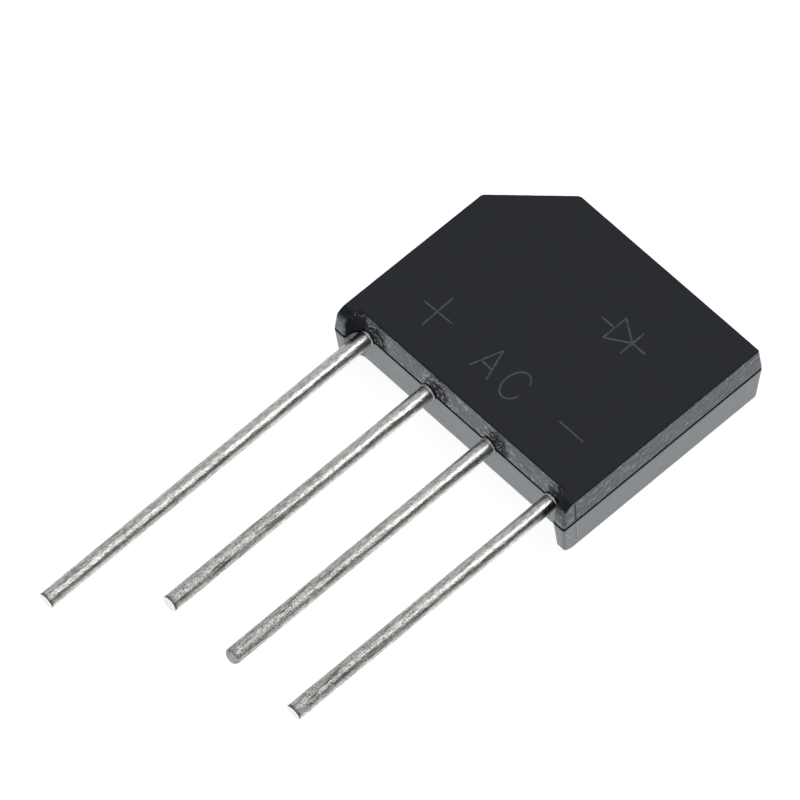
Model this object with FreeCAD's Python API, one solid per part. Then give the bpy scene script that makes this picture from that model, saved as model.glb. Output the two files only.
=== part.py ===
"""Flat in-line bridge rectifier: a moulded case, four wire leads and the circuit sealed inside.

Millimetres. The case lies on its back face with the marked face up. X runs along the row of leads
from the positive to the negative lead, Y from the leads towards the far edge, and Z out of the
marked face. The pieces are worked out from the middle of the row, the face that the leads come
out of and the parting plane, and then placed with the origin at the middle of the back face.
"""
import FreeCAD, Part
import math
import os

from FreeCAD import Vector

# Case, at the parting plane
lead_pitch = 3.81
lead_to_case_side = 1.475
body_length = 11.22
chamfer_leg = 3.1
far_corner_radius = 0.1
chamfer_corner_radius = 0.3

# Feet that stand the case off a board, one at each end of the lead face
foot_depth = 0.76
foot_to_lead_gap = 0.37
foot_corner_radius = 0.13
foot_toe_radius = 0.13
foot_hollow_radius = 0.5
foot_nose_radius = 0.65

# Mould halves
upper_height = 1.38
lower_height = 2.27
upper_draft_deg = 4.75
lower_draft_deg = 3.9
face_edge_radius = 0.1
parting_groove_width = 0.06
parting_groove_depth = 0.05

# Leads
wire_diameter = 0.76
long_lead_length = 18.9
short_lead_length = 15.2
wire_tip_chamfer = 0.07
tin_coat_thickness = 0.01
coat_end_length = 0.65
exit_ring_width = 0.07
exit_ring_depth = 0.07

# Drawn-down neck and coined tail at the inner end of each lead
neck_length = 0.9
neck_diameter = 0.6
coin_taper_length = 0.35
tail_length = 1.4
tail_width = 1.5
tail_corner_radius = 0.3
tail_root_radius = 0.03

# Diode chips and solder
chip_side = 1.9
chip_corner_radius = 0.05
chip_thickness = 0.28
mesa_depth = 0.07
mesa_inset = 0.2
mesa_corner_radius = 0.15
solder_thickness = 0.05
solder_inset = 0.12
solder_corner_radius = 0.15

# Copper plates under and over the chips
plate_thickness = 0.4
plate_corner_radius = 0.35
plate_side_wall = 0.6
plate_far_wall = 1.4
chip_to_plate_edge = 0.1
limb_width = 1.8
strap_width = 2.1
tail_to_row_gap = 0.4
taper_to_plate_gap = 0.12
mould_lock_hole_diameter = 0.9

# Derived places
case_half_width = 1.5 * lead_pitch + lead_to_case_side
wire_radius = wire_diameter / 2
neck_radius = neck_diameter / 2
foot_width = lead_to_case_side - wire_radius - foot_to_lead_gap
lead_x = [(index - 1.5) * lead_pitch for index in range(4)]
taper_end_y = neck_length + coin_taper_length
tail_end_y = taper_end_y + tail_length
plate_start_y = taper_end_y + taper_to_plate_gap
half_chip = chip_thickness / 2
plate_near_z = half_chip + solder_thickness
plate_outer_z = plate_near_z + plate_thickness
row_width = chip_side + 2 * chip_to_plate_edge
negative_row_y = tail_end_y + tail_to_row_gap + row_width / 2
positive_row_y = body_length - plate_far_wall - row_width / 2
limb_outer_x = case_half_width - plate_side_wall
limb_inner_x = 1.5 * lead_pitch - limb_width / 2
strap_x = {"left": lead_x[1], "right": lead_x[2]}
row_y = {"positive": positive_row_y, "negative": negative_row_y}
row_far_x = 0.5 * lead_pitch + strap_width / 2


def offset_polygon(points, inset):
    """Corners of a closed anticlockwise outline with every side moved inward by the inset."""
    moved = []
    count = len(points)
    for index in range(count):
        before, here, after = points[index - 1], points[index], points[(index + 1) % count]
        into = (here - before).normalize()
        out = (after - here).normalize()
        normal_in = Vector(-into.y, into.x, 0)
        normal_out = Vector(-out.y, out.x, 0)
        bisector = normal_in + normal_out
        moved.append(here + bisector * (inset / bisector.dot(normal_in)))
    return moved


def rounded_wire(points, radii, z):
    """Closed wire through the corners at one height, with an arc of its own radius at each corner."""
    edges = []
    count = len(points)
    starts, ends, middles = [], [], []
    for index in range(count):
        here = points[index]
        to_before = (points[index - 1] - here).normalize()
        to_after = (points[(index + 1) % count] - here).normalize()
        half_angle = to_before.getAngle(to_after) / 2
        radius = radii[index]
        reach = radius / math.tan(half_angle)
        bisector = (to_before + to_after).normalize()
        centre = here + bisector * (radius / math.sin(half_angle))
        starts.append(here + to_before * reach)
        ends.append(here + to_after * reach)
        middles.append(centre - bisector * radius)
    lift = Vector(0, 0, z)
    for index in range(count):
        following = (index + 1) % count
        arc = Part.Arc(starts[index] + lift, middles[index] + lift, ends[index] + lift)
        edges.append(arc.toShape())
        edges.append(Part.LineSegment(ends[index] + lift, starts[following] + lift).toShape())
    return Part.Wire(edges)


def slab(points, radii, z_low, z_high):
    """Flat plate between two heights with rounded corners in plan."""
    face = Part.Face(rounded_wire(points, radii, z_low))
    return face.extrude(Vector(0, 0, z_high - z_low))


def rectangle(x_low, x_high, y_low, y_high):
    """Corners of a rectangle, anticlockwise."""
    places = [(x_low, y_low), (x_high, y_low), (x_high, y_high), (x_low, y_high)]
    return [Vector(x, y, 0) for x, y in places]


def square_slab(centre_x, centre_y, side, z_low, z_high, radius):
    """Square slab with its corners rounded."""
    half = side / 2
    corners = rectangle(centre_x - half, centre_x + half, centre_y - half, centre_y + half)
    return slab(corners, [radius] * 4, z_low, z_high)


def case_outline():
    """Corners and corner radii of the case at the parting plane."""
    half = case_half_width
    inner = case_half_width - foot_width
    corners = [
        (Vector(-half, -foot_depth, 0), foot_corner_radius),
        (Vector(-inner, -foot_depth, 0), foot_toe_radius),
        (Vector(-inner, 0, 0), foot_hollow_radius),
        (Vector(inner, 0, 0), foot_hollow_radius),
        (Vector(inner, -foot_depth, 0), foot_toe_radius),
        (Vector(half, -foot_depth, 0), foot_corner_radius),
        (Vector(half, body_length, 0), far_corner_radius),
        (Vector(-half + chamfer_leg, body_length, 0), chamfer_corner_radius),
        (Vector(-half, body_length - chamfer_leg, 0), chamfer_corner_radius),
    ]
    return [corner[0] for corner in corners], [corner[1] for corner in corners]


def mould_half(z_face, draft_deg):
    """Half of the case from the parting plane to one face, its sides leaning in by the draft."""
    points, radii = case_outline()
    draft = math.radians(draft_deg)
    inset = abs(z_face) * math.tan(draft)
    wires = [rounded_wire(points, radii, 0), rounded_wire(offset_polygon(points, inset), radii, z_face)]
    half = Part.makeLoft(wires, True, True)
    rim = [edge for edge in half.Edges if all(abs(vertex.Z - z_face) < 1e-6 for vertex in edge.Vertexes)]
    return half.makeFillet(face_edge_radius, rim).cut(foot_nose(z_face, inset - foot_depth, draft))


def foot_nose(z_face, y_rim, draft):
    """What is cut away to round the feet's ends into one face, outside an arc that touches both."""
    x_start = -case_half_width
    radius = foot_nose_radius
    outward = 1 if z_face > 0 else -1
    y_centre = y_rim + radius * (1 / math.cos(draft) - math.tan(draft))
    z_centre = z_face - outward * radius
    end_angle = math.pi / 2 - draft

    def on_arc(angle):
        y = y_centre - radius * math.sin(angle)
        return Vector(x_start, y, z_centre + outward * radius * math.cos(angle))

    top = on_arc(0)
    end = on_arc(end_angle)
    beyond_top = top + Vector(0, 0, outward * radius)
    beyond_end = end - Vector(0, radius, 0)
    corner = Vector(x_start, beyond_end.y, beyond_top.z)
    sides = [Part.Arc(top, on_arc(end_angle / 2), end).toShape()]
    for start, stop in [(end, beyond_end), (beyond_end, corner), (corner, beyond_top), (beyond_top, top)]:
        sides.append(Part.LineSegment(start, stop).toShape())
    return Part.Face(Part.Wire(sides)).extrude(Vector(2 * case_half_width, 0, 0))


def parting_groove():
    """Thin ring cut into the sides where the two halves of the mould met."""
    points, radii = case_outline()
    z_low = -parting_groove_width / 2
    z_high = parting_groove_width / 2
    outer = slab(offset_polygon(points, -parting_groove_depth), radii, z_low, z_high)
    inner = slab(offset_polygon(points, parting_groove_depth), radii, z_low, z_high)
    return outer.cut(inner)


def exit_ring(x):
    """Shallow ring in the lead face round one wire."""
    start = Vector(x, -exit_ring_depth, 0)
    return Part.makeCylinder(wire_radius + exit_ring_width, 2 * exit_ring_depth, start, Vector(0, 1, 0))


def moulded_case(sealed):
    """One piece of resin, moulded round everything it seals in."""
    upper = mould_half(upper_height, upper_draft_deg)
    lower = mould_half(-lower_height, lower_draft_deg)
    body = upper.fuse(lower)
    cuts = [parting_groove()] + [exit_ring(x) for x in lead_x] + sealed
    return body.cut(cuts)


def lead(x, exposed_length):
    """Round tinned wire with a sheared tip outside, and a neck and a coined flat tail inside.

    The tin coat thins out next to the case. The neck lets the resin hold the lead against a pull.
    """
    bare_radius = wire_radius - tin_coat_thickness
    stations = [
        (-exposed_length, wire_radius - wire_tip_chamfer),
        (-exposed_length + wire_tip_chamfer, wire_radius),
        (-coat_end_length, wire_radius),
        (0, bare_radius),
        (neck_length, neck_radius),
        (taper_end_y, half_chip),
    ]
    profile = [Vector(x, stations[0][0], 0)]
    profile += [Vector(x + radius, y, 0) for y, radius in stations]
    profile += [Vector(x, stations[-1][0], 0), profile[0]]
    turned = Part.Face(Part.makePolygon(profile)).revolve(profile[0], Vector(0, 1, 0), 360)
    half_tail = tail_width / 2
    paddle = [
        Vector(x - neck_radius, neck_length, 0),
        Vector(x + neck_radius, neck_length, 0),
        Vector(x + half_tail, taper_end_y, 0),
        Vector(x + half_tail, tail_end_y, 0),
        Vector(x - half_tail, tail_end_y, 0),
        Vector(x - half_tail, taper_end_y, 0),
    ]
    radii = [tail_root_radius] * 2 + [tail_corner_radius] * 4
    tail = slab(paddle, radii, -half_chip, half_chip)
    return turned.fuse(tail).removeSplitter()


def bus_plate(side):
    """Lower copper plate: a limb over one outer lead's tail and a row under two chips."""
    toward = -1 if side == "positive" else 1
    limb_outer = toward * limb_outer_x
    limb_inner = toward * limb_inner_x
    row_end = -toward * row_far_x
    row_low = row_y[side] - row_width / 2
    row_high = row_y[side] + row_width / 2
    corners = [
        Vector(limb_outer, plate_start_y, 0),
        Vector(limb_inner, plate_start_y, 0),
        Vector(limb_inner, row_low, 0),
        Vector(row_end, row_low, 0),
        Vector(row_end, row_high, 0),
    ]
    if side == "positive":
        wall = plate_side_wall * math.sqrt(2)
        edge_sum = case_half_width + body_length - chamfer_leg - wall
        corners.append(Vector(row_high - edge_sum, row_high, 0))
        corners.append(Vector(limb_outer, edge_sum + limb_outer, 0))
    else:
        corners.append(Vector(limb_outer, row_high, 0))
        corners.reverse()
    return slab(corners, [plate_corner_radius] * len(corners), -plate_outer_z, -plate_near_z)


def ac_strap(side):
    """Upper copper strap from an alternating-current lead's tail over one chip of each row."""
    x = strap_x[side]
    half = strap_width / 2
    far_y = positive_row_y + row_width / 2
    corners = rectangle(x - half, x + half, plate_start_y, far_y)
    strap = slab(corners, [plate_corner_radius] * 4, plate_near_z, plate_outer_z)
    hole_y = (positive_row_y + negative_row_y) / 2
    hole = Part.makeCylinder(mould_lock_hole_diameter / 2, plate_thickness, Vector(x, hole_y, plate_near_z))
    return strap.cut(hole)


def diode_chip(x, y):
    """Silicon chip with a raised square mesa on its upper side."""
    mesa_side = chip_side - 2 * mesa_inset
    mesa_low = half_chip - mesa_depth
    base = square_slab(x, y, chip_side, -half_chip, mesa_low, chip_corner_radius)
    mesa = square_slab(x, y, mesa_side, mesa_low, half_chip, mesa_corner_radius)
    return base.fuse(mesa).removeSplitter()


def chip_solder(x, y, above):
    """Solder layer over a chip's mesa or under its base."""
    if above:
        side = chip_side - 2 * mesa_inset
        return square_slab(x, y, side, half_chip, plate_near_z, mesa_corner_radius)
    side = chip_side - 2 * solder_inset
    return square_slab(x, y, side, -plate_near_z, -half_chip, solder_corner_radius)


def lead_solder(x, above):
    """Solder layer between a lead's flat tail and the plate that it feeds."""
    half = tail_width / 2 - solder_inset
    corners = rectangle(x - half, x + half, plate_start_y, tail_end_y - solder_inset)
    radii = [solder_corner_radius] * 4
    if above:
        return slab(corners, radii, half_chip, plate_near_z)
    return slab(corners, radii, -plate_near_z, -half_chip)


def build():
    """Every piece by name, all in the frame of the lead row and the parting plane."""
    pieces = {
        "lead_positive": lead(lead_x[0], long_lead_length),
        "lead_ac_left": lead(lead_x[1], short_lead_length),
        "lead_ac_right": lead(lead_x[2], short_lead_length),
        "lead_negative": lead(lead_x[3], short_lead_length),
        "positive_bus_plate": bus_plate("positive"),
        "negative_bus_plate": bus_plate("negative"),
        "lead_solder_positive": lead_solder(lead_x[0], False),
        "lead_solder_ac_left": lead_solder(lead_x[1], True),
        "lead_solder_ac_right": lead_solder(lead_x[2], True),
        "lead_solder_negative": lead_solder(lead_x[3], False),
    }
    for side, x in strap_x.items():
        pieces["ac_strap_" + side] = ac_strap(side)
        for row, y in row_y.items():
            place = row + "_" + side
            pieces["diode_chip_" + place] = diode_chip(x, y)
            pieces["solder_over_chip_" + place] = chip_solder(x, y, True)
            pieces["solder_under_chip_" + place] = chip_solder(x, y, False)
    pieces["moulded_case"] = moulded_case(list(pieces.values()))
    return pieces


def write(pieces):
    """One STEP file a piece, with the origin at the middle of the back face."""
    os.makedirs("parts", exist_ok=True)
    shift = Vector(0, (foot_depth - body_length) / 2, lower_height)
    for name, shape in pieces.items():
        shape.translate(shift)
        shape.exportStep("parts/" + name + ".step")


write(build())
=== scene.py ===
"""Looks of the bridge rectifier: the moulded case, the tinned leads, the marks and what is sealed inside.

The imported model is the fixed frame. Sizes are in millimetres until a mesh is made, and then in
metres. X runs along the row of leads from + to -, Y from the leads to the far edge of the case
and Z out of the marked face.
"""
import math

import bpy
import numpy as np
from mathutils import Matrix, Vector, geometry, noise

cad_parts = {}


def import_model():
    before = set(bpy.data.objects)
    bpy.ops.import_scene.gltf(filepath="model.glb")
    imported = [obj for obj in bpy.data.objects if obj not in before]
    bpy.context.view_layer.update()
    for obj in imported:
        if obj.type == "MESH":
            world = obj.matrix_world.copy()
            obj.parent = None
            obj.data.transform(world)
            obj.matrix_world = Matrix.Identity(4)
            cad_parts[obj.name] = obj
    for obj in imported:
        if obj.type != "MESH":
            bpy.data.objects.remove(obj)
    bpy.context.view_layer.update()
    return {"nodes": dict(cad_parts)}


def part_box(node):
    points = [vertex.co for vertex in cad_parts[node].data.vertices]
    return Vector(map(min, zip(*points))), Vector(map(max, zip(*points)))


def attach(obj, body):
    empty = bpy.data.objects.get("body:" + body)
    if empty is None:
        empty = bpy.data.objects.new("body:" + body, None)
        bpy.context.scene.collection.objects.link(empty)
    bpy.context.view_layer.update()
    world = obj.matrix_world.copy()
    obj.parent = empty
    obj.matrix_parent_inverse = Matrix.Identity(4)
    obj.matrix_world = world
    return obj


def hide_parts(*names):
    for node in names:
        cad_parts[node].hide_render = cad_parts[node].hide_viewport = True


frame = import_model()

MM = 0.001

# Case, as the solid has it
FOOT_DEPTH = 0.76
FOOT_WIDTH = 0.725
CHAMFER_LEG = 3.1
CHAMFER_RADIUS = 0.3
FAR_RADIUS = 0.1
FOOT_RADIUS = 0.13
HOLLOW_RADIUS = 0.5
NOSE_RADIUS = 0.65
UPPER_DRAFT = math.radians(4.75)
LOWER_DRAFT = math.radians(3.9)
GROOVE_HALF_WIDTH = 0.06
GROOVE_DEPTH = 0.08
RIM_RADIUS = 0.07
RING_RADIUS = 0.45
RING_DEPTH = 0.07

# Case, softer than the solid: the groove's edges, the tightest corner under the rim, and the
# rim's unevenness as pairs of height and features per mm
GROOVE_FLOOR_SHARE = 0.7
GROOVE_BEVEL_IN = 0.006
GROOVE_BEVEL_UP = 0.008
SMALLEST_RADIUS = 0.005
RIM_WOBBLE = ((0.016, 2.2), (0.010, 7.0))
UPPER_SEED = 1.5
LOWER_SEED = 7.5

# How the case is meshed
OUTLINE_SPACING = 0.12
ARC_STEP = math.radians(12)
FEWEST_ARC_STEPS = 4
UPPER_WALL_STEPS = 7
LOWER_WALL_STEPS = 9
RIM_STEPS = 6
BISECTIONS = 50
FACE_RINGS = (0.03, 0.08)
NOSE_ANGLES = np.radians(np.arange(0, 80, 8))
NOSE_START = 0.1
NOSE_SPACING = 0.08
NOSE_MARGIN = 0.03
CAP_TOLERANCE = 1e-7
RING_SEGMENTS = 48
RING_CUTTER_REACH = 0.5
CASE_SHARP_DEGREES = 32

# Leads, as the solids have them, and the coat and bead of tin that only the meshes have
LEAD_PITCH = 3.81
NECK_LENGTH = 0.9
NECK_RADIUS = 0.3
TAPER_LENGTH = 0.35
TAIL_HALF_THICKNESS = 0.14
TAIL_CORNER_RADIUS = 0.3
SKIN = 0.012
BEAD_HALF_LENGTH = 0.06
BEAD_HEIGHT = 0.022

# How the leads are meshed
LEAD_SEGMENTS = 72
TIP_ANGLES = np.radians([90, 65, 40, 20, 0])
WIRE_STEP = 0.1
BEAD_RINGS = 12
NECK_RINGS = 6
TAPER_RINGS = 8
TAIL_RINGS = 4
TAIL_ANGLES = np.radians([15, 30, 45, 60, 75, 88])
LEAD_SHARP_DEGREES = 40

# Camera: place in mm, directions of the picture's axes, and lens for a 36 mm sensor
CAMERA_PLACE = (159.774, -155.911, 351.987)
CAMERA_RIGHT = (0.688533, 0.725142, -0.009573)
CAMERA_DOWN = (0.60985, -0.586104, -0.533447)
CAMERA_LENS = 431.19
SENSOR_WIDTH = 36.0

# Places that the frame gives
case_low, case_high = [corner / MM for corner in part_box("moulded_case")]
HALF_WIDTH = case_high.x
FRONT_Y = case_low.y
BACK_Y = case_high.y
RECESS_Y = FRONT_Y + FOOT_DEPTH
TOP_Z = case_high.z
FOOT_INNER_X = HALF_WIDTH - FOOT_WIDTH
lead_low, lead_high = [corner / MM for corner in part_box("lead_positive")]
PARTING_Z = (lead_low.z + lead_high.z) / 2
WIRE_RADIUS = (lead_high.z - lead_low.z) / 2
COATED_RADIUS = WIRE_RADIUS + SKIN
NECK_END = RECESS_Y + NECK_LENGTH
TAPER_END = NECK_END + TAPER_LENGTH


def lerp(a, b, t):
    """Value between a and b at share t."""
    return a + (b - a) * t


def smoothstep(low, high, value):
    """Smooth share from 0 at low to 1 at high."""
    t = np.clip((value - low) / (high - low), 0, 1)
    return t * t * (3 - 2 * t)


def turned(arm, angle):
    """The arm in the plane, turned anticlockwise by the angle."""
    c, s = math.cos(angle), math.sin(angle)
    return np.array([arm[0] * c - arm[1] * s, arm[0] * s + arm[1] * c])


def new_object(name, vertices, faces):
    """Mesh object at the origin from points in mm."""
    mesh = bpy.data.meshes.new(name)
    mesh.from_pydata([tuple(c * MM for c in v) for v in vertices], [], faces)
    mesh.validate()
    obj = bpy.data.objects.new(name, mesh)
    bpy.context.scene.collection.objects.link(obj)
    return obj


def shade(obj, angle_deg):
    """Smooth shading in which edges sharper than the angle stay sharp and flat faces stay flat."""
    obj.data.polygons.foreach_set("use_smooth", [True] * len(obj.data.polygons))
    obj.data.set_sharp_from_angle(angle=math.radians(angle_deg))
    flat_faces = obj.modifiers.new("flat_faces", "WEIGHTED_NORMAL")
    flat_faces.keep_sharp = True


# The case


def case_corners():
    """Corners of the case at the parting plane, anticlockwise: x, y and radius."""
    half = HALF_WIDTH
    inner = FOOT_INNER_X
    chamfer_x = -half + CHAMFER_LEG
    chamfer_y = BACK_Y - CHAMFER_LEG
    return [
        (-half, FRONT_Y, FOOT_RADIUS),
        (-inner, FRONT_Y, FOOT_RADIUS),
        (-inner, RECESS_Y, HOLLOW_RADIUS),
        (inner, RECESS_Y, HOLLOW_RADIUS),
        (inner, FRONT_Y, FOOT_RADIUS),
        (half, FRONT_Y, FOOT_RADIUS),
        (half, BACK_Y, FAR_RADIUS),
        (chamfer_x, BACK_Y, CHAMFER_RADIUS),
        (-half, chamfer_y, CHAMFER_RADIUS),
    ]


class Outline:
    """Points round the case. Each lies on a corner's arc, or on the straight line between two arcs.

    A corner moves by its lean for each mm that the walls move in, and a point of its arc lies at its
    reach times the radius from there. A sample is a share of the way from one such point to another.
    """

    def __init__(self, spacing):
        corners = case_corners()
        count = len(corners)
        self.points = np.array([c[:2] for c in corners])
        self.radius = np.array([c[2] for c in corners])
        edges = np.roll(self.points, -1, axis=0) - self.points
        along = edges / np.linalg.norm(edges, axis=1)[:, None]
        inward = np.stack([-along[:, 1], along[:, 0]], axis=1)
        lean, convex, corner, reach, outward, samples = [], [], [], [], [], []
        for i in range(count):
            before, after = along[i - 1], along[i]
            lean.append((inward[i - 1] + inward[i]) / (1 + inward[i - 1] @ inward[i]))
            bisector = (after - before) / np.linalg.norm(after - before)
            half = math.acos(np.clip(-before @ after, -1, 1)) / 2
            centre = bisector / math.sin(half)
            start = -before / math.tan(half) - centre
            end = after / math.tan(half) - centre
            turn = math.atan2(start[0] * end[1] - start[1] * end[0], start @ end)
            convex.append(turn > 0)
            arc_length = abs(turn) * self.radius[i]
            steps = max(FEWEST_ARC_STEPS, int(arc_length / spacing * 2), int(abs(turn) / ARC_STEP))
            for k in range(steps + 1):
                arm = turned(start, turn * k / steps)
                samples.append((len(corner), len(corner), 0.0))
                corner.append(i)
                reach.append(centre + arm)
                outward.append(arm if turn > 0 else -arm)
            length = np.linalg.norm(edges[i]) - self.radius[i] - self.radius[(i + 1) % count]
            steps = max(2, int(length / spacing))
            samples += [(len(corner) - 1, len(corner), k / steps) for k in range(1, steps)]
        self.lean, self.convex = np.array(lean), np.array(convex)
        self.corner, self.reach = np.array(corner), np.array(reach)
        first, second, share = zip(*samples)
        self.first, self.second = np.array(first), np.array(second) % len(corner)
        self.share = np.array(share)[:, None]
        self.normal = np.array(outward)[self.first]
        self.base = self.at(0)

    def at(self, inset, rim=0.0):
        """Points with the walls moved in by the inset and the rim. The rim makes convex corners tighter."""
        inset, rim = [np.broadcast_to(v, self.share.shape[:1])[:, None] for v in (inset, rim)]
        ends = []
        for index in (self.first, self.second):
            corner = self.corner[index]
            radius = self.radius[corner][:, None]
            smaller = np.maximum(radius - rim, SMALLEST_RADIUS)
            radius = np.where(self.convex[corner][:, None], smaller, radius + rim)
            moved = self.points[corner] + self.lean[corner] * (inset + rim)
            ends.append(moved + self.reach[index] * radius)
        return lerp(ends[0], ends[1], self.share)


class Face:
    """One face, flat over the body and rolled over into the ends of the feet."""

    def __init__(self, height, draft):
        self.height = height
        self.lean_in = math.tan(draft)
        self.roll_depth = NOSE_RADIUS * math.cos(draft)
        y_rim = FRONT_Y + height * self.lean_in
        self.y_centre = y_rim + NOSE_RADIUS * (1 / math.cos(draft) - self.lean_in)
        self.tangent_y = self.y_centre - self.roll_depth
        self.tangent_height = height - NOSE_RADIUS + NOSE_RADIUS * math.sin(draft)

    def height_at(self, y):
        """Height of the face over the parting plane, at each y."""
        drop = np.clip(self.y_centre - y, 0, self.roll_depth)
        rolled = self.height - NOSE_RADIUS + np.sqrt(NOSE_RADIUS ** 2 - drop ** 2)
        wall = self.tangent_height + (y - self.tangent_y) / self.lean_in
        return np.where(y < self.tangent_y, wall, rolled)


def rim_wobble(outline, seed):
    """Small unevenness of the rim, as in a worn mould."""
    return np.array([
        sum(size * noise.noise(Vector((scale * x, scale * y, seed))) for size, scale in RIM_WOBBLE)
        for x, y in outline.base
    ])


def half_rings(outline, face, wall_steps, seed):
    """Rings of points from the parting plane to one face, as arrays of x, y and height."""
    # Share of the rim's rounding: it fades out on the ends of the feet, where the face rolls over
    at_end = outline.base[:, 1] < FRONT_Y + 1.5 * FOOT_RADIUS
    rim = np.where(at_end, 1 + np.minimum(outline.normal[:, 1], 0), 1.0)
    radius = RIM_RADIUS + rim_wobble(outline, seed)

    # Height at which the wall meets the rim, found by halving
    low = np.full(len(outline.base), GROOVE_HALF_WIDTH)
    high = np.full(len(outline.base), float(face.height))
    for _ in range(BISECTIONS):
        middle = (low + high) / 2
        y = outline.at(middle * face.lean_in)[:, 1]
        above = face.height_at(y) - rim * radius - middle > 0
        low = np.where(above, middle, low)
        high = np.where(above, high, middle)
    wall_top = np.where(rim < 1e-6, face.tangent_height, low)

    rings = []

    def add(inset, height):
        rings.append(np.column_stack([outline.at(inset), height]))

    zero = np.zeros(len(outline.base))
    add(zero + GROOVE_DEPTH, zero)
    add(zero + GROOVE_DEPTH, zero + GROOVE_FLOOR_SHARE * GROOVE_HALF_WIDTH)
    add(zero + GROOVE_BEVEL_IN, zero + GROOVE_HALF_WIDTH)
    for k in range(wall_steps + 1):
        height = lerp(GROOVE_HALF_WIDTH + GROOVE_BEVEL_UP, wall_top, k / wall_steps)
        add(height * face.lean_in, height)
    angles = [k / RIM_STEPS * math.pi / 2 for k in range(1, RIM_STEPS + 1)]
    insets = [radius * (1 - math.cos(angle)) for angle in angles]
    drops = [radius * (1 - math.sin(angle)) for angle in angles]
    insets += [radius + step for step in FACE_RINGS]
    drops += [zero] * len(FACE_RINGS)
    for inset, drop in zip(insets, drops):
        place = outline.at(wall_top * face.lean_in, inset)
        rings.append(np.column_stack([place, face.height_at(place[:, 1]) - rim * drop]))
    return rings


def inside(polygon, point, margin):
    """Is the point in the polygon and further than the margin from its corners?"""
    if np.min(np.linalg.norm(polygon - point, axis=1)) < margin:
        return False
    x, y = point
    a, b = polygon, np.roll(polygon, -1, axis=0)
    crosses = (a[:, 1] > y) != (b[:, 1] > y)
    with np.errstate(divide="ignore", invalid="ignore"):
        at_x = (b[:, 0] - a[:, 0]) * (y - a[:, 1]) / (b[:, 1] - a[:, 1]) + a[:, 0]
    return bool(np.sum(crosses & (x < at_x)) % 2)


def cap(ring, face_z, y_centre, first_index):
    """Triangles over one face: new points over the rounded ends of the feet, and faces by index."""
    polygon = ring[:, :2]
    extra = []
    for angle in NOSE_ANGLES:
        y = y_centre - NOSE_RADIUS * math.sin(angle)
        for side in (-1, 1):
            for across in np.arange(NOSE_START, FOOT_WIDTH + HOLLOW_RADIUS, NOSE_SPACING):
                point = np.array([side * (HALF_WIDTH - across), y])
                if inside(polygon, point, NOSE_MARGIN):
                    extra.append(point)
    points = [Vector(p) for p in polygon] + [Vector(p) for p in extra]
    loop = list(range(len(polygon)))
    places, _, triangles, origins, _, _ = geometry.delaunay_2d_cdt(points, [], [loop], 1, CAP_TOLERANCE)
    new_index = {}
    new_points = []
    for k, sources in enumerate(origins):
        if sources and sources[0] < len(polygon):
            new_index[k] = first_index + sources[0]
        else:
            x, y = places[k]
            new_index[k] = ("new", len(new_points))
            new_points.append((x, y, float(face_z(np.array([y]))[0])))
    return new_points, [[new_index[k] for k in triangle] for triangle in triangles]


def moulded_case():
    """The case as one closed skin, from the face below to the marked face."""
    outline = Outline(OUTLINE_SPACING)
    upper_face = Face(TOP_Z - PARTING_Z, UPPER_DRAFT)
    lower_face = Face(PARTING_Z, LOWER_DRAFT)
    upper = half_rings(outline, upper_face, UPPER_WALL_STEPS, UPPER_SEED)
    lower = half_rings(outline, lower_face, LOWER_WALL_STEPS, LOWER_SEED)
    for ring in upper:
        ring[:, 2] += PARTING_Z
    for ring in lower:
        ring[:, 2] = PARTING_Z - ring[:, 2]
    rings = lower[:0:-1] + upper
    count = len(outline.base)
    vertices = [tuple(p) for ring in rings for p in ring]
    faces = []
    for level in range(len(rings) - 1):
        for k in range(count):
            a, b = level * count + k, level * count + (k + 1) % count
            faces.append((a, b, b + count, a + count))

    def lower_z(y):
        return PARTING_Z - lower_face.height_at(y)

    def upper_z(y):
        return PARTING_Z + upper_face.height_at(y)

    caps = (
        (rings[0], lower_z, lower_face.y_centre, 0, True),
        (rings[-1], upper_z, upper_face.y_centre, (len(rings) - 1) * count, False),
    )
    for ring, face_z, y_centre, first_index, flip in caps:
        new_points, triangles = cap(ring, face_z, y_centre, first_index)
        offset = len(vertices)
        vertices += new_points
        for triangle in triangles:
            loop = [offset + k[1] if isinstance(k, tuple) else k for k in triangle]
            faces.append(loop[::-1] if flip else loop)
    return new_object("moulded_case_finished", vertices, faces)


def cylinder_along_y(x, y_low, y_high, z, radius, segments):
    """Vertices and faces of a closed cylinder along Y."""
    vertices, faces = [], []
    for y in (y_low, y_high):
        for k in range(segments):
            angle = 2 * math.pi * k / segments
            vertices.append((x + radius * math.cos(angle), y, z + radius * math.sin(angle)))
    for k in range(segments):
        following = (k + 1) % segments
        faces.append((k, k + segments, following + segments, following))
    faces.append(list(range(segments)))
    faces.append(list(range(segments, 2 * segments))[::-1])
    return vertices, faces


def cut(obj, cutter):
    """Take the cutter out of the object for good."""
    step = obj.modifiers.new("cut", "BOOLEAN")
    step.operation = "DIFFERENCE"
    step.solver = "EXACT"
    step.object = cutter
    bpy.context.view_layer.update()
    evaluated = obj.evaluated_get(bpy.context.evaluated_depsgraph_get())
    mesh = bpy.data.meshes.new_from_object(evaluated)
    obj.modifiers.remove(step)
    obj.data = mesh
    bpy.data.objects.remove(cutter)


# The leads

LEADS = {
    # offset at the case and at the tip, tip edge radius and tilt, length past the solid, seed, pits, end
    # grey; the end grey also sets how strong the painted shade by the cut end is
    "positive": (-0.10, 0.11, 0.04, -0.12, 0.19, 3.0, 0.7, 0.88),
    "ac_left": (-0.04, 0.06, 0.04, 0.0, 0.20, 11.0, 1.3, 0.88),
    # ac_right's low end grey is painted shade on its cut face, which is darker than the other three
    "ac_right": (-0.08, 0.01, 0.20, 0.05, 0.16, 19.0, 1.3, 0.30),
    "negative": (0.0, 0.0, 0.04, -0.12, 0.06, 27.0, 1.3, 0.92),
}

# Powers of the sections' rounding: a circle, and the coined tail's soft rectangle
ROUND = 2.0
BOXY = 9.0

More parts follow.
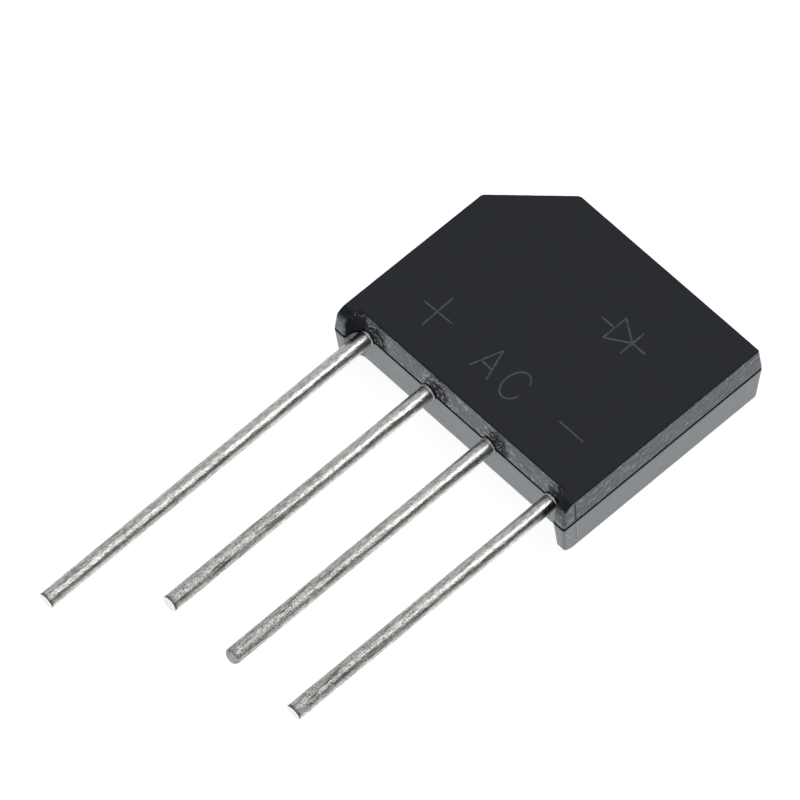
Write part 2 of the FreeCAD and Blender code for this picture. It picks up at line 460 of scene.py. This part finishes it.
# Unevenness of the coat: height, and features round the wire and along it. It fades in round the case's wall
COAT_WOBBLE = ((0.006, 3.0, 1.1), (0.0035, 6.0, 3.5))
WOBBLE_FROM_INSIDE = 0.05
WOBBLE_FULL_OUTSIDE = 0.25

# Length over which the slant of the cut fades out
TILT_REACH = 0.6


class Lead:
    """One lead: dipped round wire with a bead of tin by the case, and neck and flat tail inside."""

    def __init__(self, name, shape):
        self.name = name
        self.offset_case, self.offset_tip, self.tip_radius, self.tip_tilt, extra_length, self.seed = shape
        low, high = [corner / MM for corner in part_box("lead_" + name)]
        self.x = (low.x + high.x) / 2
        self.tail_half = (high.x - low.x) / 2
        self.tip_y = low.y - extra_length
        self.tail_straight = high.y - TAIL_CORNER_RADIUS

    def stations(self):
        """Rings from the tip to the end of the tail: kind, and the ring's y or its angle round a corner."""
        wire_start = self.tip_y + self.tip_radius + WIRE_STEP / 2
        bead = np.linspace(RECESS_Y - 2 * BEAD_HALF_LENGTH, RECESS_Y, BEAD_RINGS)[:-1]
        places = [("tip", angle) for angle in TIP_ANGLES]
        places += [("wire", y) for y in np.arange(wire_start, RECESS_Y - 3 * BEAD_HALF_LENGTH, WIRE_STEP)]
        places += [("wire", y) for y in bead]
        places += [("neck", y) for y in np.linspace(RECESS_Y, NECK_END, NECK_RINGS)]
        places += [("tail", y) for y in np.linspace(NECK_END, TAPER_END, TAPER_RINGS)[1:]]
        places += [("tail", y) for y in np.linspace(TAPER_END, self.tail_straight, TAIL_RINGS)[1:]]
        places += [("round", angle) for angle in TAIL_ANGLES]
        return places

    def section(self, kind, value):
        """Y of one ring, half its width and half its thickness, and the power of its rounding."""
        if kind == "tip":
            y = self.tip_y + self.tip_radius - self.tip_radius * math.sin(value)
            half = COATED_RADIUS - self.tip_radius + self.tip_radius * math.cos(value)
            return y, half, half, ROUND
        if kind == "wire":
            from_bead = min(1.0, abs(value - RECESS_Y + BEAD_HALF_LENGTH) / BEAD_HALF_LENGTH)
            half = COATED_RADIUS + BEAD_HEIGHT * math.sqrt(1 - from_bead ** 2)
            return value, half, half, ROUND
        if kind == "neck":
            half = lerp(COATED_RADIUS, NECK_RADIUS, (value - RECESS_Y) / NECK_LENGTH)
            return value, half, half, ROUND
        if kind == "tail":
            share = min(1.0, (value - NECK_END) / TAPER_LENGTH)
            half_x = lerp(NECK_RADIUS, self.tail_half, float(smoothstep(0, 1, share)))
            return value, half_x, lerp(NECK_RADIUS, TAIL_HALF_THICKNESS, share), lerp(ROUND, BOXY, share)
        y = self.tail_straight + TAIL_CORNER_RADIUS * math.sin(value)
        half_x = self.tail_half - TAIL_CORNER_RADIUS * (1 - math.cos(value))
        return y, half_x, TAIL_HALF_THICKNESS, BOXY

    def ring(self, kind, value):
        """Points of one ring, with the wire's bend, its uneven coat and its slanted cut."""
        y, half_x, half_z, power = self.section(kind, value)
        share = np.clip((RECESS_Y - y) / (RECESS_Y - self.tip_y), 0, 1)
        bend = lerp(self.offset_case, self.offset_tip, share) * float(smoothstep(NECK_END, RECESS_Y, y))
        outside = float(smoothstep(RECESS_Y + WOBBLE_FROM_INSIDE, RECESS_Y - WOBBLE_FULL_OUTSIDE, y))
        points = []
        for k in range(LEAD_SEGMENTS):
            angle = 2 * math.pi * k / LEAD_SEGMENTS
            c, s = math.cos(angle), math.sin(angle)
            x = half_x * math.copysign(abs(c) ** (2 / power), c)
            z = half_z * math.copysign(abs(s) ** (2 / power), s)
            rough = sum(
                height * noise.noise(Vector((around * c, along * y, self.seed + around * s)))
                for height, around, along in COAT_WOBBLE
            )
            scale = 1 + outside * rough / WIRE_RADIUS
            shear = self.tip_tilt * z * float(smoothstep(TILT_REACH, 0.0, y - self.tip_y))
            points.append((self.x + bend + x * scale, y + shear, PARTING_Z + z * scale))
        return points

    def build(self):
        """The lead as one closed mesh."""
        rings = [self.ring(kind, value) for kind, value in self.stations()]
        segments = LEAD_SEGMENTS
        faces = []
        for level in range(len(rings) - 1):
            for k in range(segments):
                a, b = level * segments + k, level * segments + (k + 1) % segments
                faces.append((b, a, a + segments, b + segments))
        faces.append(list(range(segments)))
        last = (len(rings) - 1) * segments
        faces.append([last + k for k in range(segments)][::-1])
        return new_object("lead_" + self.name + "_finished", [p for ring in rings for p in ring], faces)


# Marks

MARK_WIDTH = 0.085
MARK_HEIGHT = 0.004
INSERT_LINE_WIDTH = 0.06
INSERT_LINE_HEIGHT = 0.015
STROKE_ROOT = -0.01
STROKE_TOLERANCE = 1e-6
CAP_STEPS = 6

DIODE_CENTRE = (2.45, 7.4)
DIODE_HALF_LENGTH = 1.3
DIODE_HALF_BODY = 0.55
DIODE_HALF_HEIGHT = 0.7


def ribbon(points, width):
    """Outline of a stroke with round ends, anticlockwise."""
    points = [np.array(p, float) for p in points]
    along = [b - a for a, b in zip(points, points[1:])]
    along = [d / np.linalg.norm(d) for d in along]
    right, left = [], []
    for k, point in enumerate(points):
        before, after = along[max(k - 1, 0)], along[min(k, len(along) - 1)]
        across = np.array([before[1] + after[1], -before[0] - after[0]])
        across = across / (1 + before @ after) * width / 2
        right.append(point + across)
        left.append(point - across)
    outline = right[:]
    for centre, start in ((points[-1], right[-1] - points[-1]), (points[0], left[0] - points[0])):
        if centre is points[0]:
            outline += left[::-1]
        outline += [centre + turned(start, math.pi * k / CAP_STEPS) for k in range(1, CAP_STEPS)]
    return outline


def mark_strokes():
    """Strokes of the polarity marks in the plane of the face: x, and distance from the lead face."""
    plus = [[(-4.80, 2.43), (-3.18, 2.49)], [(-3.98, 1.55), (-4.04, 3.36)]]
    apex = (-0.57, 3.11)
    letter_a = [[(-1.08, 1.61), apex], [apex, (-0.04, 1.58)], [(-0.85, 2.11), (-0.20, 2.09)]]
    centre, half_x, half_y = np.array([1.05, 2.27]), 0.53, 0.80
    angles = np.radians(np.linspace(36, 336, 26))
    letter_c = [[centre + (half_x * math.cos(a), half_y * math.sin(a)) for a in angles]]
    minus = [[(3.69, 2.38), (5.11, 2.38)]]
    return plus + letter_a + letter_c + minus


def diode_strokes():
    """Strokes of a plain diode symbol."""
    x, y = DIODE_CENTRE
    anode, cathode = x - DIODE_HALF_BODY, x + DIODE_HALF_BODY
    low, high = y - DIODE_HALF_HEIGHT, y + DIODE_HALF_HEIGHT
    return [
        [(x - DIODE_HALF_LENGTH, y), (anode, y)],
        [(anode, low), (anode, high)],
        [(anode, low), (cathode, y)],
        [(anode, high), (cathode, y)],
        [(cathode, low), (cathode, high)],
        [(cathode, y), (x + DIODE_HALF_LENGTH, y)],
    ]


def raised(name, strokes, width, height, place):
    """Strokes joined into one thin raised piece: place puts a point of the plane and a height into space."""
    points, loops = [], []
    for stroke in strokes:
        outline = ribbon(stroke, width)
        loops.append(list(range(len(points), len(points) + len(outline))))
        points += [Vector(p) for p in outline]
    flat, _, found, _, _, origins = geometry.delaunay_2d_cdt(points, [], loops, 1, STROKE_TOLERANCE)
    triangles = [t for t, sources in zip(found, origins) if sources]
    count = len(flat)
    vertices = [place(p[0], p[1], h) for h in (STROKE_ROOT, height) for p in flat]
    faces = [[k + count for k in t] for t in triangles] + [list(t)[::-1] for t in triangles]
    sides = {}
    for t in triangles:
        for a, b in zip(t, list(t[1:]) + [t[0]]):
            sides[(a, b)] = True
    faces += [(a, b, b + count, a + count) for a, b in sides if (b, a) not in sides]
    return new_object(name, vertices, faces)


def insert_strokes(sign, upper):
    """Lines where the mould's corner insert met the block: distance along the side wall, and height."""
    if upper:
        lines = [[(-5.25, 0.12), (-5.23, 1.21)]]
    else:
        straight = [(-5.20, -0.12), (-5.03, -1.86)]
        lines = [straight, [(-5.83, -0.42), (-5.70, -0.72), (-5.47, -1.16), (-5.25, -1.56), straight[1]]]
    return [[(sign * y, rise) for y, rise in line] for line in lines]


def on_side(sign):
    """Maps a distance along one side wall, and a height from the parting plane, to a point of that wall."""
    def place(along, rise, h):
        lean = rise * math.tan(UPPER_DRAFT) if rise > 0 else -rise * math.tan(LOWER_DRAFT)
        return (sign * (HALF_WIDTH - lean + h), sign * along, PARTING_Z + rise)
    return place


def on_face(x, y, h):
    """Point of the marked face, h above it."""
    return (x, RECESS_Y + y, TOP_Z + h)


# Materials

# Sockets of the mix node that carry colours
MIX_COLOUR_A = 6
MIX_COLOUR_B = 7
MIX_COLOUR_RESULT = 2


class Nodes:
    """Short calls for the nodes of one material or of the world."""

    def __init__(self, owner):
        owner.use_nodes = True
        self.owner = owner
        self.tree = owner.node_tree
        self.shader = self.tree.nodes.get("Principled BSDF")
        self.coordinates = self.tree.nodes.new("ShaderNodeTexCoord")

    def add(self, kind, **values):
        """New node with some of its settings."""
        node = self.tree.nodes.new("ShaderNode" + kind)
        for key, value in values.items():
            setattr(node, key, value)
        return node

    def link(self, source, target):
        """Link an output to an input."""
        self.tree.links.new(source, target)

    def axes(self, output):
        """The three axes of one of the texture coordinates."""
        split = self.add("SeparateXYZ")
        self.link(self.coordinates.outputs[output], split.inputs[0])
        return split.outputs

    def place(self, scale):
        """Object coordinates in mm times a scale for each axis."""
        mapping = self.add("Mapping")
        mapping.inputs["Scale"].default_value = [s / MM for s in scale]
        self.link(self.coordinates.outputs["Object"], mapping.inputs["Vector"])
        return mapping.outputs["Vector"]

    def noise(self, scale, detail=3.0, roughness=0.55, stretch=(1, 1, 1)):
        """Noise with features of about 1 / scale mm."""
        node = self.add("TexNoise")
        node.inputs["Scale"].default_value = 1.0
        node.inputs["Detail"].default_value = detail
        node.inputs["Roughness"].default_value = roughness
        self.link(self.place([scale * s for s in stretch]), node.inputs["Vector"])
        return node.outputs["Fac"]

    def remap(self, value, low, high, to_low=0.0, to_high=1.0):
        """Value from one range to another, held at its ends."""
        node = self.add("MapRange", interpolation_type="SMOOTHSTEP")
        for key, number in (("From Min", low), ("From Max", high), ("To Min", to_low), ("To Max", to_high)):
            node.inputs[key].default_value = number
        self.link(value, node.inputs["Value"])
        return node.outputs["Result"]

    def remap_mm(self, value, low, high, to_low=0.0, to_high=1.0):
        """Length from a range in mm to another range, held at its ends."""
        return self.remap(value, low * MM, high * MM, to_low, to_high)

    def remap_from(self, value, place, reach):
        """Share that is 0 at the place plus the first reach, and 1 at the place plus the second, in mm."""
        return self.remap_mm(value, place + reach[0], place + reach[1])

    def mix(self, share, a, b):
        """Colour between a and b: each is a colour or an output."""
        node = self.add("Mix", data_type="RGBA")
        for socket, value in ((MIX_COLOUR_A, a), (MIX_COLOUR_B, b)):
            if isinstance(value, tuple):
                node.inputs[socket].default_value = (*value, 1.0)
            else:
                self.link(value, node.inputs[socket])
        self.link(share, node.inputs[0])
        return node.outputs[MIX_COLOUR_RESULT]

    def math(self, operation, a, b=None):
        """One sum or product of outputs or numbers."""
        node = self.add("Math", operation=operation)
        for k, value in enumerate((a, b)):
            if value is None:
                continue
            if isinstance(value, (int, float)):
                node.inputs[k].default_value = value
            else:
                self.link(value, node.inputs[k])
        return node.outputs[0]

    def times(self, *factors):
        """Product of outputs or numbers."""
        product = factors[0]
        for factor in factors[1:]:
            product = self.math("MULTIPLY", product, factor)
        return product

    def length(self, a, b):
        """Length of the arm whose two parts are a and b."""
        return self.math("SQRT", self.math("ADD", self.math("POWER", a, 2), self.math("POWER", b, 2)))

    def bump(self, height, distance_mm, strength=1.0, under=None):
        """Bump from a height of 0 to 1, on top of another bump."""
        node = self.add("Bump")
        node.inputs["Distance"].default_value = distance_mm * MM
        node.inputs["Strength"].default_value = strength
        self.link(height, node.inputs["Height"])
        if under is not None:
            self.link(under, node.inputs["Normal"])
        return node.outputs["Normal"]


def grey(value):
    """Neutral colour."""
    return (value, value, value)


# Colours of the resin: its two walls, partly painted sheen, and what lies on them, its faces, and the zones
# by the leads
# The walls' greys are partly their rougher moulded finish and partly painted sheen of the white floor; the
# lower wall, which faces the floor, is painted lighter than the upper one
LOWER_WALL_PAINTED_SHEEN = (0.180, 0.224, 0.244)
UPPER_WALL_PAINTED_SHEEN = (0.062, 0.078, 0.104)
CLOUDED = (0.24, 0.26, 0.27)
SCUFFED = (0.44, 0.46, 0.50)
FACE_TONES = ((0.0010, 0.0046, 0.0125), (0.0008, 0.0042, 0.0150))
# Painted shade and painted reflection of the lead, in the hollows and right of each lead
PAINTED_SHADE = (0.008, 0.011, 0.019)
DARK_SPECK = (0.010, 0.012, 0.016)
LIGHT_SPECK = (0.60, 0.61, 0.62)
IN_SHADE = grey(0.003)

# Disturbed resin by each lead: how far right of the lead its middle lies, its width as a share of its
# height, and how far it reaches, first as rough resin and then as painted shade and painted reflection of the
# lead, with a ragged edge
PATCH_OFFSET = 0.35
PATCH_WIDTH_SHARE = 0.65
ROUGH_REACH = (1.25, 0.80)
PAINTED_SHADE_REACH = (0.90, 0.55)
PAINTED_SHADE_RAGGEDNESS = 1.2

# Specks along the rim of the hollows: heights between which they come in, and their share
RIM_SPECKS_RISE = (0.85, 1.20)
RIM_SPECKS_SHARE = 0.6

# Half of the height over which the two walls' greys meet, and the edge of the painted shade in the groove
WALLS_MEET = 0.03
GROOVE_DARK_EDGE = (0.075, 0.115)

# Edges of the zones by the leads. Each pair holds the distances at which a share is 0 and at which it is 1:
# behind the lead face, behind the ends of the feet, past the start of a hollow's rounding, past a foot's
# inner side, outside the ring round a lead, and behind the lead face for the painted shade on that ring's
# floor
LEAD_SIDE_REACH = (0.328, 0.128)
FEET_ENDS_REACH = (0.028, 0.088)
HOLLOW_START_REACH = (-0.063, 0.027)
HOLLOW_END_REACH = (0.287, 0.137)
RING_REACH = (0.07, 0.01)
RING_SHADE_REACH = (0.008, 0.038)


def lead_zones(n, wall_above, mottle):
    """Shares of painted shade and painted reflection of the lead in the hollows and by the leads, of painted
    shade on the floor of the ring round each lead, and of rough resin.
    """
    axes = n.axes("Object")
    across = n.math("ABSOLUTE", axes["X"])
    rise = n.math("SUBTRACT", axes["Z"], PARTING_Z * MM)
    lean = n.times(n.math("ABSOLUTE", rise), math.tan(UPPER_DRAFT))
    depth = n.math("SUBTRACT", axes["Y"], lean)
    lead_side = n.remap_from(depth, RECESS_Y, LEAD_SIDE_REACH)
    behind_nose = n.times(n.remap_from(depth, FRONT_Y, FEET_ENDS_REACH), lead_side)
    hollow = n.times(
        n.remap_from(across, FOOT_INNER_X - HOLLOW_RADIUS, HOLLOW_START_REACH),
        n.remap_from(across, FOOT_INNER_X, HOLLOW_END_REACH))

    half_pitch = LEAD_PITCH / 2 * MM
    to_lead = n.math("PINGPONG", n.math("ADD", across, half_pitch), half_pitch)
    in_ring = n.remap_from(n.length(to_lead, rise), RING_RADIUS, RING_REACH)
    # Painted shade on the floor of the ring round each lead
    ring_shade = n.times(in_ring, n.remap_from(depth, RECESS_Y, RING_SHADE_REACH), lead_side)

    # Three and a half pitches keep the sum above zero and put a lead at each multiple of the pitch
    shifted = n.math("ADD", axes["X"], (3.5 * LEAD_PITCH - PATCH_OFFSET) * MM)
    beside = n.math("PINGPONG", shifted, half_pitch)
    spread = n.length(beside, n.times(rise, PATCH_WIDTH_SHARE))
    rough = n.times(n.remap_mm(spread, *ROUGH_REACH), n.math("SUBTRACT", behind_nose, hollow))
    rim_specks = n.times(hollow, n.remap_mm(rise, *RIM_SPECKS_RISE, 0.0, RIM_SPECKS_SHARE), behind_nose)
    rough = n.math("MAXIMUM", rough, rim_specks)

    # Painted shade and painted reflection of the lead, with a ragged edge, in the hollows and right of each
    # lead
    ragged = n.times(n.math("SUBTRACT", mottle, 0.5), PAINTED_SHADE_RAGGEDNESS * MM)
    near = n.remap_mm(n.math("ADD", spread, ragged), *PAINTED_SHADE_REACH)
    skin = n.times(n.math("MAXIMUM", hollow, near), wall_above, behind_nose)
    return skin, ring_shade, n.times(rough, wall_above)


def resin():
    """Filled epoxy: nearly black and smooth on the two faces, greyer and coarser on the moulded walls, whose
    grey is partly painted sheen.
    """
    n = Nodes(bpy.data.materials.new("moulded_resin"))
    tilt = n.math("ABSOLUTE", n.axes("Normal")["Z"])
    face = n.remap(tilt, 0.35, 0.75)
    not_face = n.math("SUBTRACT", 1.0, face)
    rim = n.times(n.remap(tilt, 0.995, 0.97), face)
    height = n.math("SUBTRACT", n.axes("Object")["Z"], PARTING_Z * MM)
    upper = n.remap_mm(height, -WALLS_MEET, WALLS_MEET)
    wall_above = n.times(upper, not_face)
    # Painted shade in the parting groove, near black; the floor of the ring round each lead gets the same
    # below
    seam = n.remap_mm(n.math("ABSOLUTE", height), *GROOVE_DARK_EDGE, 1.0, 0.0)

    # Painted sheen: the lower wall lighter, as if it mirrored the floor, the upper one darker
    wall = n.mix(upper, LOWER_WALL_PAINTED_SHEEN, UPPER_WALL_PAINTED_SHEEN)
    cloud = n.remap(n.noise(0.9, 3.0), 0.35, 0.65)
    wall = n.mix(n.times(cloud, 0.25), wall, CLOUDED)
    mottle = n.noise(5.0, 6.0, 0.75, (0.6, 0.6, 1))
    scuff = n.math("ADD", 0.12, n.times(upper, 0.80))
    wall = n.mix(n.times(n.remap(mottle, 0.54, 0.64), scuff), wall, SCUFFED)
    painted_shade_share, ring_shade, rough_zone = lead_zones(n, wall_above, mottle)
    seam = n.math("MAXIMUM", seam, ring_shade)
    speck = n.noise(8.0, 4.0, 0.8)
    wall = n.mix(n.times(n.remap(speck, 0.50, 0.42), rough_zone), wall, DARK_SPECK)
    # Painted shade and painted reflection of the lead in the hollows and right of each lead
    wall = n.mix(painted_shade_share, wall, PAINTED_SHADE)
    wall = n.mix(n.times(n.remap(speck, 0.55, 0.61), rough_zone), wall, LIGHT_SPECK)
    top = n.mix(n.remap(n.noise(0.35, 2.0), 0.35, 0.65), *FACE_TONES)
    n.link(n.mix(seam, n.mix(face, wall, top), IN_SHADE), n.shader.inputs["Base Color"])

    grain = n.noise(14.0, 5.0, 0.6)
    rough = n.math("ADD", n.remap(grain, 0.3, 0.7, 0.15, 0.25), n.times(upper, 0.07))
    dull = n.math("MAXIMUM", n.math("MAXIMUM", seam, rim), painted_shade_share)
    n.link(n.math("ADD", rough, n.times(dull, 0.6)), n.shader.inputs["Roughness"])
    fine = n.bump(n.times(grain, n.math("SUBTRACT", 1.15, face)), 0.02, 0.5)
    swirl = n.times(n.noise(3.5, 2.0, 0.5), wall_above)
    n.link(n.bump(swirl, 0.05, 0.8, fine), n.shader.inputs["Normal"])
    n.shader.inputs["Specular IOR Level"].default_value = 0.45
    return n.owner


# Colours of the tin, the length over which the dip's shine fades from the case, and the reach of the painted
# shade by the cut end
TIN_TONES = ((0.50, 0.50, 0.48), (0.80, 0.80, 0.78))
TIN_PIT = (0.13, 0.13, 0.11)
# Grey of the drawn wire's streaks, also used for the painted shade by the cut end
DRAWN_WIRE_AND_TIP_SHADE = (0.16, 0.16, 0.15)
FADE_LENGTH = 15.0
TIP_SHADE_REACH = (0.20, 0.08)


def tinned_wire(name, tip_y, pitted, end_grey_and_shade):
    """Dipped tin: bright and streaky by the case, greyer and pitted towards the tip, at tip_y in metres, with
    painted shade next to the cut end.
    """
    n = Nodes(bpy.data.materials.new(name))
    along = n.axes("Object")["Y"]
    away = n.remap_mm(along, RECESS_Y, RECESS_Y - FADE_LENGTH, 0.15, pitted)
    streak = n.noise(11.0, 4.0, 0.65, (1, 0.3, 1))
    pits = n.noise(14.0, 4.0, 0.75, (1, 0.7, 1))
    drawn = n.noise(8.0, 3.0, 0.6, (1, 0.08, 1))

    tin = n.mix(n.remap(streak, 0.40, 0.60), *TIN_TONES)
    tin = n.mix(n.times(n.remap(pits, 0.53, 0.65), away), tin, TIN_PIT)
    tin = n.mix(n.times(n.remap(drawn, 0.55, 0.62), n.times(away, 0.75)), tin, DRAWN_WIRE_AND_TIP_SHADE)
    # Painted shade along the cut end, as strong as the end's grey
    tip_shade_start, tip_shade_full = [tip_y + reach * MM for reach in TIP_SHADE_REACH]
    tin = n.mix(n.remap(along, tip_shade_start, tip_shade_full, 0.0, end_grey_and_shade), tin, DRAWN_WIRE_AND_TIP_SHADE)
    sheared = n.remap(n.math("ABSOLUTE", n.axes("Normal")["Y"]), 0.45, 0.95, 0.0, 0.95)
    cut_face = (end_grey_and_shade, end_grey_and_shade, 0.98 * end_grey_and_shade)
    n.link(n.mix(sheared, tin, cut_face), n.shader.inputs["Base Color"])

    n.shader.inputs["Metallic"].default_value = 1.0
    rough = n.math("ADD", n.remap(pits, 0.3, 0.7, 0.16, 0.32), n.times(away, 0.04))
    n.link(rough, n.shader.inputs["Roughness"])
    fine = n.bump(streak, 0.017, 0.7)
    n.link(n.bump(n.times(pits, away), 0.029, 0.7, fine), n.shader.inputs["Normal"])
    return n.owner


def metal(name, colour, darker, roughness, grain):
    """Bare sheet metal or solder with a slight grain."""
    n = Nodes(bpy.data.materials.new(name))
    patches = n.noise(grain, 4.0, 0.6, (1, 0.3, 1))
    n.link(n.mix(n.remap(patches, 0.35, 0.7), colour, darker), n.shader.inputs["Base Color"])
    n.shader.inputs["Metallic"].default_value = 1.0
    n.link(n.remap(patches, 0.3, 0.7, roughness, roughness + 0.15), n.shader.inputs["Roughness"])
    n.link(n.bump(patches, 0.01, 0.4), n.shader.inputs["Normal"])
    return n.owner


def silicon():
    """Polished silicon with a faint haze."""
    n = Nodes(bpy.data.materials.new("silicon_chip"))
    haze = n.noise(1.5, 3.0)
    n.link(n.mix(haze, (0.10, 0.11, 0.14), (0.15, 0.16, 0.20)), n.shader.inputs["Base Color"])
    n.link(n.remap(haze, 0.3, 0.7, 0.12, 0.25), n.shader.inputs["Roughness"])
    n.shader.inputs["Metallic"].default_value = 0.6
    return n.owner


def marking(name, darker, lighter, roughness):
    """Grey resin with an uneven colour, as where it is burnt or squeezed out."""
    n = Nodes(bpy.data.materials.new(name))
    patches = n.noise(5.0, 3.0, 0.6)
    n.link(n.mix(n.remap(patches, 0.3, 0.7), darker, lighter), n.shader.inputs["Base Color"])
    n.shader.inputs["Roughness"].default_value = roughness
    n.link(n.bump(patches, 0.01, 0.5), n.shader.inputs["Normal"])
    return n.owner


def paint(obj, material):
    """Give an object one material."""
    obj.data.materials.clear()
    obj.data.materials.append(material)


# The pieces


def build_case():
    """The case, with a shallow ring cut round each lead."""
    case = moulded_case()
    vertices, faces = [], []
    for name, settings in LEADS.items():
        low, high = [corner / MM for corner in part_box("lead_" + name)]
        x = (low.x + high.x) / 2 + settings[0]
        reach = (RECESS_Y - RING_CUTTER_REACH, RECESS_Y + RING_DEPTH)
        v, f = cylinder_along_y(x, *reach, PARTING_Z, RING_RADIUS, RING_SEGMENTS)
        faces += [[k + len(vertices) for k in face] for face in f]
        vertices += v
    cut(case, new_object("exit_rings", vertices, faces))
    shade(case, CASE_SHARP_DEGREES)
    paint(case, resin())
    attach(case, "root")
    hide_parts("moulded_case")


def build_leads():
    """The four leads."""
    for name, settings in LEADS.items():
        *shape, pitted, end_grey_and_shade = settings
        lead = Lead(name, shape).build()
        shade(lead, LEAD_SHARP_DEGREES)
        tip_y = min(vertex.co.y for vertex in lead.data.vertices)
        paint(lead, tinned_wire("tinned_wire_" + name, tip_y, pitted, end_grey_and_shade))
        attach(lead, "root")
        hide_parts("lead_" + name)


def build_marks():
    """The marks on the face, and the insert's lines on the outer side of each foot."""
    mark = marking("face_mark", (0.052, 0.058, 0.068), (0.108, 0.118, 0.134), 0.75)
    flash = marking("mould_flash", (0.40, 0.42, 0.41), (0.60, 0.62, 0.61), 0.30)
    for name, strokes in (("polarity_marks", mark_strokes()), ("diode_mark", diode_strokes())):
        piece = raised(name, strokes, MARK_WIDTH, MARK_HEIGHT, on_face)
        paint(piece, mark)
        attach(piece, "root")
    for side, sign in (("left", -1), ("right", 1)):
        for name, upper, material in (("insert_flash_", False, flash), ("insert_seam_", True, mark)):
            strokes = insert_strokes(sign, upper)
            piece = raised(name + side, strokes, INSERT_LINE_WIDTH, INSERT_LINE_HEIGHT, on_side(sign))
            paint(piece, material)
            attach(piece, "root")


def dress_inner_pieces():
    """Materials of the pieces that the case seals in."""
    copper = metal("bare_copper", (0.74, 0.42, 0.28), (0.60, 0.32, 0.20), 0.30, 3.0)
    solder = metal("reflowed_solder", (0.55, 0.55, 0.54), (0.44, 0.44, 0.43), 0.38, 5.0)
    chip = silicon()
    for name, obj in frame["nodes"].items():
        if name.startswith(("solder_", "lead_solder")):
            paint(obj, solder)
        elif name.startswith("diode_chip"):
            paint(obj, chip)
        elif name.endswith("bus_plate") or name.startswith("ac_strap"):
            paint(obj, copper)


# Stage, light and camera

FLOOR_HALF_SIZE = 1500
FLOOR_Z = -0.02
PAPER = 0.42
PAPER_GLOW = 0.86
PAPER_SHEEN = 0.75

SURROUNDINGS = 0.61
DARK_BAND = 0.20
BRIGHT_FRONT = 1.25
DARK_SCREEN = 0.08

KEY_DIRECTION = (0.36, 0.361, 0.860)
KEY_DISTANCE = 450
KEY_SIZE = (160, 300)
KEY_RADIANCE = 2.05


def floor():
    """White floor that shows as white and keeps a faint shadow, with paper's gloss at grazing angles."""
    corners = ((-1, -1), (1, -1), (1, 1), (-1, 1))
    vertices = [(x * FLOOR_HALF_SIZE, y * FLOOR_HALF_SIZE, FLOOR_Z) for x, y in corners]
    obj = new_object("floor", vertices, [(0, 1, 2, 3)])
    n = Nodes(bpy.data.materials.new("white_floor"))
    n.tree.nodes.remove(n.shader)
    paper = n.add("BsdfDiffuse")
    paper.inputs["Color"].default_value = (*grey(PAPER), 1)
    glow = n.add("Emission")
    path = n.add("LightPath")
    seen = n.math("MAXIMUM", path.outputs["Is Camera Ray"], path.outputs["Is Glossy Ray"])
    seen = n.math("MAXIMUM", seen, path.outputs["Is Transmission Ray"])
    n.link(n.times(seen, PAPER_GLOW), glow.inputs["Strength"])
    both = n.add("AddShader")
    n.link(paper.outputs[0], both.inputs[0])
    n.link(glow.outputs[0], both.inputs[1])
    gloss = n.add("BsdfGlossy")
    gloss.inputs["Roughness"].default_value = 0.15
    gloss.inputs["Color"].default_value = (1, 1, 1, 1)
    slant = n.add("LayerWeight")
    grazing = n.remap(slant.outputs["Facing"], 0.35, 0.75, 0.0, PAPER_SHEEN)
    sheen = n.add("MixShader")
    n.link(n.times(grazing, path.outputs["Is Glossy Ray"]), sheen.inputs[0])
    n.link(both.outputs[0], sheen.inputs[1])
    n.link(gloss.outputs[0], sheen.inputs[2])
    n.link(sheen.outputs[0], n.tree.nodes["Material Output"].inputs["Surface"])
    paint(obj, n.owner)


def key_light():
    """Oblong soft light from above the far right, towards the middle of the part."""
    data = bpy.data.lights.new("key", "AREA")
    data.shape = "RECTANGLE"
    data.size, data.size_y = [side * MM for side in KEY_SIZE]
    data.energy = KEY_RADIANCE * math.pi * data.size * data.size_y
    obj = bpy.data.objects.new("key", data)
    toward = Vector(KEY_DIRECTION).normalized()
    obj.location = toward * KEY_DISTANCE * MM
    obj.rotation_mode = "QUATERNION"
    obj.rotation_quaternion = toward.to_track_quat("Z", "Y")
    bpy.context.scene.collection.objects.link(obj)


def world():
    """Grey surroundings, bright in front under a dark band, with a low dark screen behind on the right."""
    n = Nodes(bpy.data.worlds.new("studio"))
    axes = n.axes("Generated")
    band = n.remap(axes["Y"], 0.05, -0.15)
    front = n.remap(axes["Y"], -0.60, -0.75)
    right = n.remap(axes["X"], 0.50, 0.70)
    low = n.remap(axes["Z"], 0.72, 0.60)
    behind = n.remap(axes["Y"], -0.1, 0.2)
    sky = n.mix(band, grey(SURROUNDINGS), grey(DARK_BAND))
    sky = n.mix(front, sky, grey(BRIGHT_FRONT))
    sky = n.mix(n.times(right, low, behind), sky, grey(DARK_SCREEN))
    n.link(sky, n.tree.nodes["Background"].inputs["Color"])
    bpy.context.scene.world = n.owner


def camera():
    """The photograph's viewpoint."""
    data = bpy.data.cameras.new("camera")
    data.lens = CAMERA_LENS
    data.sensor_width = SENSOR_WIDTH
    data.clip_start = 0.01
    data.clip_end = 10.0
    obj = bpy.data.objects.new("camera", data)
    right, up = Vector(CAMERA_RIGHT).normalized(), -Vector(CAMERA_DOWN).normalized()
    back = right.cross(up).normalized()
    turn = Matrix((right, up, back)).transposed().to_4x4()
    obj.matrix_world = Matrix.Translation(Vector(CAMERA_PLACE) * MM) @ turn
    bpy.context.scene.collection.objects.link(obj)
    bpy.context.scene.camera = obj


camera()
world()
floor()
key_light()
build_case()
build_leads()
build_marks()
dress_inner_pieces()
bpy.context.scene.view_settings.view_transform = "Standard"
